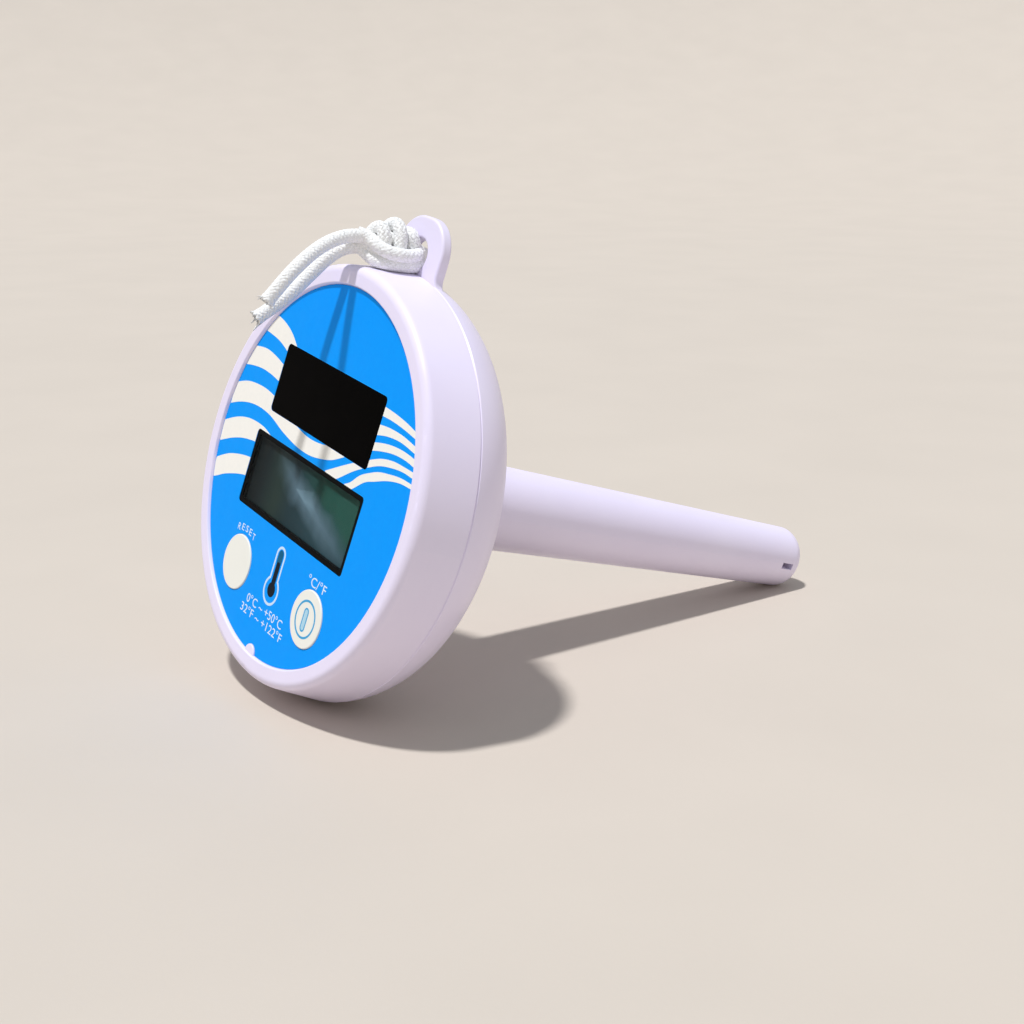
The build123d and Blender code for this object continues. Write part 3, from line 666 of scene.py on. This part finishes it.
def smooth_curve(points):
    """A function through given points whose slope stays even between them."""
    xs = np.array([point[0] for point in points], float)
    ys = np.array([point[1] for point in points], float)
    slopes = np.gradient(ys, xs)

    def value(x):
        k = int(np.clip(np.searchsorted(xs, x) - 1, 0, len(xs) - 2))
        width = xs[k + 1] - xs[k]
        t = (x - xs[k]) / width
        return ((2 * t**3 - 3 * t**2 + 1) * ys[k] + (t**3 - 2 * t**2 + t) * width * slopes[k]
                + (3 * t**2 - 2 * t**3) * ys[k + 1] + (t**3 - t**2) * width * slopes[k + 1])

    return value


def window_span(u, window):
    """What a window with rounded corners takes out of the label at u, from its low to its high edge."""
    at_u, at_v, width, height, corner = window
    past = abs(u - at_u) - (width / 2 - corner)
    if past > corner:
        return None
    half = height / 2 - (corner - math.sqrt(corner**2 - past**2) if past > 0 else 0.0)
    return at_v - half, at_v + half


def printed_spans(u, low, high):
    """The parts of one slice of a band that lie on the label and outside its windows."""
    rim = math.sqrt(max(0.0, LABEL_EDGE**2 - u * u))
    spans = [(max(low, -rim), min(high, rim))]
    for window in (SOLAR, LCD):
        cut = window_span(u, window)
        if cut:
            spans = [part for low, high in spans
                     for part in ((low, min(high, cut[0])), (max(low, cut[1]), high))]
    return [(low, high) for low, high in spans if high - low > 0.02]


def band(lower, upper, start, end):
    """Quads of a printed band between two curves of v over u."""
    low_curve, high_curve = smooth_curve(lower), smooth_curve(upper)
    stops = [start, end]
    for at_u, _, width, _, _ in (SOLAR, LCD):
        stops += [stop for stop in (at_u - width / 2, at_u + width / 2) if start < stop < end]
    stops.sort()
    quads = []
    for left, right in zip(stops, stops[1:]):
        count = max(2, math.ceil((right - left) / COLUMN))
        us = [left + (right - left) * (0.001 + 0.998 * k / count) for k in range(count + 1)]
        columns = [printed_spans(u, low_curve(u), high_curve(u)) for u in us]
        for u0, u1, first, second in zip(us, us[1:], columns, columns[1:]):
            for low0, high0 in first:
                for low1, high1 in second:
                    if low1 < high0 and low0 < high1:
                        quads.append([(u0, low0), (u1, low1), (u1, high1), (u0, high0)])
    return quads


def inked(name, polygons, material, height=LABEL_TOP, body="housing", thick=INK):
    """A thin closed layer of ink over flat polygons of the face."""
    work = bmesh.new()
    for polygon in polygons:
        work.faces.new([work.verts.new((u, v, 0.0)) for u, v in polygon])
    bmesh.ops.remove_doubles(work, verts=work.verts, dist=1e-4)
    bmesh.ops.recalc_face_normals(work, faces=work.faces)
    for face in work.faces:
        if face.normal.z < 0:
            face.normal_flip()
    raised = bmesh.ops.extrude_face_region(work, geom=work.faces[:] + work.edges[:] + work.verts[:])
    top = {item for item in raised["geom"] if isinstance(item, bmesh.types.BMVert)}
    for vertex in work.verts:
        vertex.co.z = height + (thick if vertex in top else -thick / 2)
    bmesh.ops.recalc_face_normals(work, faces=work.faces)
    mesh = bpy.data.meshes.new(name)
    work.to_mesh(mesh)
    work.free()
    return piece(name, mesh, material, body, smooth=False)


def arc(centre, radius, start, end, count=24):
    """Points along an arc, in degrees from +u."""
    angles = [math.radians(start + (end - start) * k / count) for k in range(count + 1)]
    return [(centre[0] + radius * math.cos(a), centre[1] + radius * math.sin(a)) for a in angles]


def between(outer, inner):
    """Quads between two closed outlines of equally many points."""
    return [[outer[k - 1], outer[k], inner[k], inner[k - 1]] for k in range(len(outer))]


def bulb_outline(centre_u, tube_half, tube_top, bulb_v, bulb_r):
    """A round-topped tube that runs down into a round bulb."""
    mouth = math.degrees(math.asin(tube_half / bulb_r))
    return (arc((centre_u, tube_top - tube_half), tube_half, 0, 180, 12)
            + arc((centre_u, bulb_v), bulb_r, 90 + mouth, 450 - mouth, 30))


def capsule(centre, half_width, half_height):
    """An upright outline with round ends."""
    straight = half_height - half_width
    return (arc((centre[0], centre[1] + straight), half_width, 0, 180, 14)
            + arc((centre[0], centre[1] - straight), half_width, 180, 360, 14))


# Edges of the five printed waves, lower and upper, as v over u, each with the u where it starts and
# ends. A wave that dips behind a window comes out on its other side.
WAVES = [
    ("wave_1_left",
     [(-39.5, 27.2), (-35.0, 26.9), (-30.0, 26.3), (-25.0, 24.9), (-19.5, 22.5)],
     [(-39.5, 32.2), (-34.0, 32.0), (-30.0, 31.3), (-25.0, 29.6), (-19.5, 26.3)], -39.5, -19.8),
    ("wave_1_right",
     [(24.0, 22.7), (30.0, 22.8), (35.0, 22.5), (42.0, 21.7)],
     [(24.0, 25.0), (30.0, 24.7), (35.0, 24.2), (42.0, 23.0)], 24.0, 42.0),
    ("wave_2_left",
     [(-44.0, 16.5), (-40.0, 17.2), (-35.0, 17.7), (-30.0, 17.6), (-24.0, 16.9)],
     [(-44.0, 21.6), (-40.0, 22.4), (-35.0, 22.9), (-30.0, 22.4), (-24.0, 21.2)], -44.0, -24.0),
    ("wave_2_right",
     [(24.0, 17.8), (30.0, 19.1), (35.0, 19.5), (43.0, 18.8)],
     [(24.0, 20.5), (30.0, 21.1), (35.0, 21.1), (43.0, 20.2)], 24.0, 43.0),
    ("wave_3",
     [(-46.8, 4.9), (-42.5, 6.5), (-35.0, 8.2), (-30.0, 8.5), (-25.0, 8.2), (-15.0, 6.1), (-5.0, 4.9),
      (0.0, 5.0), (5.0, 5.8), (10.0, 7.1), (15.0, 9.4), (26.0, 14.5), (30.0, 15.5), (35.0, 16.3),
      (40.0, 16.4), (44.0, 16.0)],
     [(-46.8, 10.8), (-40.0, 12.9), (-35.0, 13.5), (-30.0, 13.6), (-25.0, 13.1), (-9.0, 9.3), (-5.0, 8.75),
      (0.0, 8.7), (5.0, 9.3), (15.0, 12.6), (26.0, 16.5), (30.0, 17.4), (35.0, 18.0), (40.0, 18.0),
      (44.0, 17.6)], -46.8, 44.0),
    ("wave_4_left",
     [(-46.8, -5.5), (-40.0, -2.7), (-35.0, -1.2), (-30.0, -0.3), (-25.0, 0.2)],
     [(-46.8, 0.3), (-42.5, 2.2), (-40.0, 3.1), (-35.0, 4.3), (-30.0, 4.7), (-25.0, 4.5), (-20.7, 3.6)],
     -46.8, -20.8),
    ("wave_4_right",
     [(8.0, 2.0), (14.5, 3.9), (17.5, 5.8), (20.0, 7.4), (26.0, 10.4), (30.0, 12.05), (35.0, 13.2),
      (40.0, 13.8), (44.6, 13.7)],
     [(8.0, 3.7), (12.5, 6.0), (17.5, 8.5), (26.0, 12.3), (30.0, 13.8), (35.0, 14.8), (40.0, 15.0),
      (44.6, 15.0)], 8.6, 44.6),
    ("wave_5_left",
     [(-46.8, -15.8), (-42.5, -14.0), (-40.0, -12.8), (-35.0, -11.0), (-30.0, -9.6), (-27.0, -9.0)],
     [(-46.8, -10.4), (-42.5, -8.2), (-40.0, -7.1), (-35.0, -5.6), (-30.0, -4.6), (-27.0, -4.2)],
     -46.8, -27.0),
    ("wave_5_right",
     [(18.0, 1.5), (22.1, 3.9), (26.5, 7.0), (30.0, 8.3), (35.0, 10.1), (40.0, 11.2), (45.2, 11.45)],
     [(18.0, 3.7), (20.5, 5.0), (23.4, 7.5), (27.5, 9.6), (30.0, 10.6), (35.0, 11.7), (40.0, 12.4),
      (45.2, 12.45)], 18.3, 45.2),
]


def lettered(name, text, left, right, low, high):
    """Generic characters fitted into a box on the label."""
    curve = bpy.data.curves.new(name, "FONT")
    curve.body = text
    curve.extrude = 0.5
    curve.resolution_u = 3
    holder = bpy.data.objects.new(name + "_text", curve)
    bpy.context.scene.collection.objects.link(holder)
    mesh = bpy.data.meshes.new_from_object(holder)
    bpy.data.objects.remove(holder)
    us = [vertex.co.x for vertex in mesh.vertices]
    vs = [vertex.co.y for vertex in mesh.vertices]
    for vertex in mesh.vertices:
        vertex.co.x = left + (vertex.co.x - min(us)) / (max(us) - min(us)) * (right - left)
        vertex.co.y = low + (vertex.co.y - min(vs)) / (max(vs) - min(vs)) * (high - low)
        vertex.co.z = LABEL_TOP + (INK if vertex.co.z > 0 else -INK / 2)
    mesh.name = name
    work = bmesh.new()
    work.from_mesh(mesh)
    bmesh.ops.remove_doubles(work, verts=work.verts, dist=1e-4)
    work.to_mesh(mesh)
    work.free()
    mesh.materials.clear()
    return piece(name, mesh, INK_CAPTION, smooth=False)


ARCHED_WORD = "RESET"    # generic caption that arches over the left button
ARCH_TOP = (-19.2, -21.7)
ARCH_R = 13.0
LETTER_PITCH = 2.1
LETTER_HALF = 0.7
LETTER_HEIGHT = 1.7


def print_label():
    """Waves, the thermometer sign and the range, all in ink on the blue film."""
    for name, lower, upper, start, end in WAVES:
        inked(name, band(lower, upper, start, end), INK_WHITE)
    inked("sign_outline", between(bulb_outline(0.3, 2.3, -18.6, -30.0, 3.8),
                                  bulb_outline(0.3, 1.65, -19.25, -30.0, 3.15)), INK_PALE)
    inked("sign_scale", [capsule((0.3, -21.6), 1.15, 2.1)], INK_TEAL)
    inked("sign_column", [bulb_outline(0.35, 0.95, -22.6, -29.8, 1.85)], INK_DARK, thick=1.6 * INK)
    lettered("range_celsius", "0°C ~ +50°C", -9.8, 9.8, -36.7, -34.3)
    lettered("range_fahrenheit", "32°F ~ +122°F", -11.5, 11.3, -39.6, -37.3)
    lettered("unit_caption", "°C/°F", 15.3, 24.2, -22.2, -19.7)
    for place, letter in enumerate(ARCHED_WORD):
        across = (place - (len(ARCHED_WORD) - 1) / 2) * LETTER_PITCH
        centre = ARCH_TOP[0] + across
        low = ARCH_TOP[1] - across**2 / (2 * ARCH_R)
        lettered(f"reset_caption_{place}", letter, centre - LETTER_HALF, centre + LETTER_HALF,
                 low, low + LETTER_HEIGHT)


print_label()

BUTTON_TOP = -0.5


def print_button():
    """The ring and the small capsule sign on the unit button."""
    centre = (19.4, -29.9)
    ring = [arc(centre, radius, 0, 360, 64)[:-1] for radius in (4.7, 4.15)]
    sign = [capsule((19.2, -30.1), 1.1 - inset, 3.0 - inset) for inset in (0.0, 0.42)]
    inked("unit_button_ring", between(*ring), INK_BLUE, BUTTON_TOP, "unit_key")
    inked("unit_button_sign", between(*sign), INK_BLUE, BUTTON_TOP, "unit_key")
    inked("unit_button_sign_fill", [sign[1]], INK_MIST, BUTTON_TOP, "unit_key")


print_button()

# ---- stage ----------------------------------------------------------------------------------------

FLOOR_FLAT = 1.6         # metres, radius of the level floor
FLOOR_RISE = 2.2         # metres, radius of the curve that rises from it
FLOOR_SECTORS = 96
FLOOR_COLOUR = (0.60, 0.53, 0.46)
SUN_FROM = (-0.158, 0.858, 0.489)        # in the head's frame
SUN_STRENGTH = 3.0
SKY_STRENGTH = 0.46


def make_floor():
    """A pale floor that curves up all round into its own backdrop."""
    profile = [(0.0, 0.0), (0.3, 0.0), (0.8, 0.0), (FLOOR_FLAT, 0.0)]
    profile += [(FLOOR_FLAT + FLOOR_RISE * math.sin(a), FLOOR_RISE * (1 - math.cos(a)))
                for a in (math.radians(7.5 * k) for k in range(1, 9))]
    turns = [2 * math.pi * k / FLOOR_SECTORS for k in range(FLOOR_SECTORS)]
    points = [(0.0, 0.0, 0.0)]
    for radius, height in profile[1:]:
        points += [(radius * math.cos(turn), radius * math.sin(turn), height) for turn in turns]
    sectors = [(k, (k + 1) % FLOOR_SECTORS) for k in range(FLOOR_SECTORS)]
    faces = [(0, 1 + k, 1 + after) for k, after in sectors]
    for ring in range(len(profile) - 2):
        inner = 1 + ring * FLOOR_SECTORS
        outer = inner + FLOOR_SECTORS
        faces += [(inner + k, outer + k, outer + after, inner + after) for k, after in sectors]
    mesh = mesh_from("floor", points, faces)
    finish = Finish("floor", FLOOR_COLOUR, 0.7, Specular_IOR_Level=0.2)
    finish.mottle(FLOOR_COLOUR, [0.97 * part for part in FLOOR_COLOUR], 60.0)
    finish.bump(finish.noise(1.2, 4.0), 0.02)
    mesh.materials.append(finish.material)
    for face in mesh.polygons:
        face.use_smooth = True
    floor = bpy.data.objects.new("floor", mesh)
    bpy.context.scene.collection.objects.link(floor)


def make_lights():
    """One soft sun from above and in front, and an even, slightly blue sky."""
    world = bpy.data.worlds.new("studio")
    world.use_nodes = True
    sky = world.node_tree.nodes["Background"]
    sky.inputs["Color"].default_value = (0.80, 0.90, 1.0, 1.0)
    sky.inputs["Strength"].default_value = SKY_STRENGTH
    bpy.context.scene.world = world
    sun = bpy.data.lights.new("key", "SUN")
    sun.energy = SUN_STRENGTH
    sun.angle = math.radians(4.0)
    sun.color = (0.97, 0.98, 1.0)
    key = bpy.data.objects.new("key", sun)
    key.rotation_euler = (HEAD.to_3x3() @ Vector(SUN_FROM)).to_track_quat("Z", "Y").to_euler()
    bpy.context.scene.collection.objects.link(key)
    bpy.context.scene.view_settings.view_transform = "Standard"


make_floor()
make_lights()
